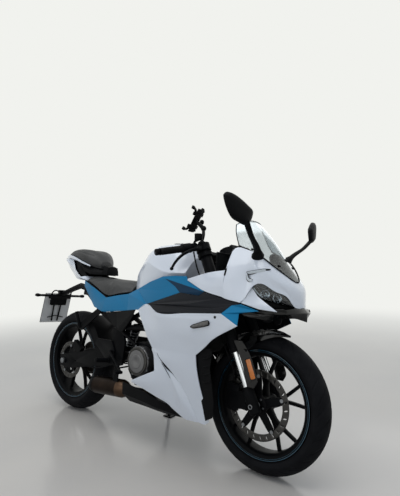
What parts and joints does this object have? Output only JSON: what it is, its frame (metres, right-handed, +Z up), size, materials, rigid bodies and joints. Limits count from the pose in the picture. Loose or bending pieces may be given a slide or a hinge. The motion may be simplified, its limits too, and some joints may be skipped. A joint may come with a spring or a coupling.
{
  "type": "sport motorcycle",
  "caption": "Faired sport motorcycle leaning on its side stand, with turning front fork, free wheels, folding stand and hinged fuel cap.",
  "frame": {"origin": "on the floor, under the centre of the whole leaning motorcycle's box", "axes": "+X forward along the wheelbase, +Y to the motorcycle's left, which it leans to, +Z up"},
  "size_m": [2.017, 0.7881, 1.1847],
  "materials": {
    "white_paint": "gloss white lacquer on moulded panels",
    "blue_paint": "metallic mid-blue lacquer",
    "textured_grey": "dark grey textured panel",
    "black_plastic": "satin black moulded plastic",
    "black_gloss": "gloss black moulded plastic",
    "frame_paint": "satin black powder coat on steel tube",
    "engine_cast": "dark painted casting",
    "cover_alloy": "silver-grey cast covers",
    "alloy_black": "black coated cast alloy",
    "chromed_steel": "hard-chromed tube",
    "steel": "plain steel",
    "disc_steel": "ground disc steel",
    "exhaust_steel": "heat-browned stainless steel",
    "tyre_rubber": "black tyre rubber",
    "grip_rubber": "black moulded rubber",
    "seat_cover": "black seat vinyl with grain",
    "screen_clear": "clear polycarbonate sheet",
    "lamp_lens": "clear lamp lens over a dark reflector",
    "plate_white": "blank white plate",
    "lamp_red": "dark red lamp lens",
    "radiator_core": "black radiator fins"
  },
  "bodies": {
    "chassis": {"frame": "frame_paint", "rear_subframe": "frame_paint", "engine": "engine_cast", "engine_covers": "cover_alloy", "radiator": "radiator_core", "exhaust_header": "exhaust_steel", "muffler": "exhaust_steel", "belly_cover": "black_gloss", "swingarm": "frame_paint", "rear_shock": "steel", "rear_axle": "steel", "rear_caliper": "alloy_black", "drive_chain": "steel", "fuel_tank": "white_paint", "side_fairings": "white_paint", "middle_panels": "textured_grey", "tank_panels": "blue_paint", "front_wedges": "blue_paint", "tail_panels": "blue_paint", "tail_cowl": "white_paint", "seat_base": "black_plastic", "rider_seat": "seat_cover", "passenger_seat": "seat_cover", "seat_covers": "black_plastic", "nose_cowl": "white_paint", "nose_frame": "black_plastic", "windshield": "screen_clear", "headlights": "lamp_lens", "beak": "black_gloss", "mirrors": "black_gloss", "plate_hanger": "black_plastic", "number_plate": "plate_white", "rear_lights": "lamp_red", "hugger": "black_plastic", "footrests": "alloy_black", "passenger_pegs": "alloy_black"},
    "steering": {"fork_lowers": "chromed_steel", "fork_uppers": "alloy_black", "steering_yokes": "alloy_black", "handlebars": "alloy_black", "grips": "grip_rubber", "hand_controls": "black_plastic", "phone_holder": "black_plastic", "front_mudguard": "black_plastic", "front_caliper": "alloy_black", "brake_hose": "black_plastic", "front_axle": "steel"},
    "front_wheel_body": {"front_wheel": "alloy_black", "front_tyre": "tyre_rubber", "front_disc": "disc_steel"},
    "rear_wheel_body": {"rear_wheel": "alloy_black", "rear_tyre": "tyre_rubber", "rear_disc": "disc_steel", "rear_sprocket": "steel"},
    "stand_body": {"side_stand": "frame_paint"},
    "fuel_cap_body": {"fuel_cap": "black_gloss"}
  },
  "joints": [
    {"name": "steering_turn", "type": "hinge", "parent": "chassis", "child": "steering", "pos_m": [0.43645, -0.03502, 0.79534], "axis": [-0.4226, 0.1026, 0.9005], "range_deg": [-27, 27]},
    {"name": "front_wheel_spin", "type": "hinge", "parent": "steering", "child": "front_wheel_body", "pos_m": [0.7155, -0.09241, 0.2916], "axis": [0, 0.9936, -0.1132], "continuous": true},
    {"name": "rear_wheel_spin", "type": "hinge", "parent": "chassis", "child": "rear_wheel_body", "pos_m": [-0.6445, -0.09162, 0.29855], "axis": [0, 0.9936, -0.1132], "continuous": true},
    {"name": "side_stand_fold", "type": "hinge", "parent": "chassis", "child": "stand_body", "pos_m": [-0.0845, 0.05311, 0.24382], "axis": [0.01, 0.9796, 0.2006], "range_deg": [0, 86]},
    {"name": "fuel_cap_lift", "type": "hinge", "parent": "chassis", "child": "fuel_cap_body", "pos_m": [0.2335, -0.01181, 0.99902], "axis": [0, 0.9936, -0.1132], "range_deg": [0, 100]}
  ]
}
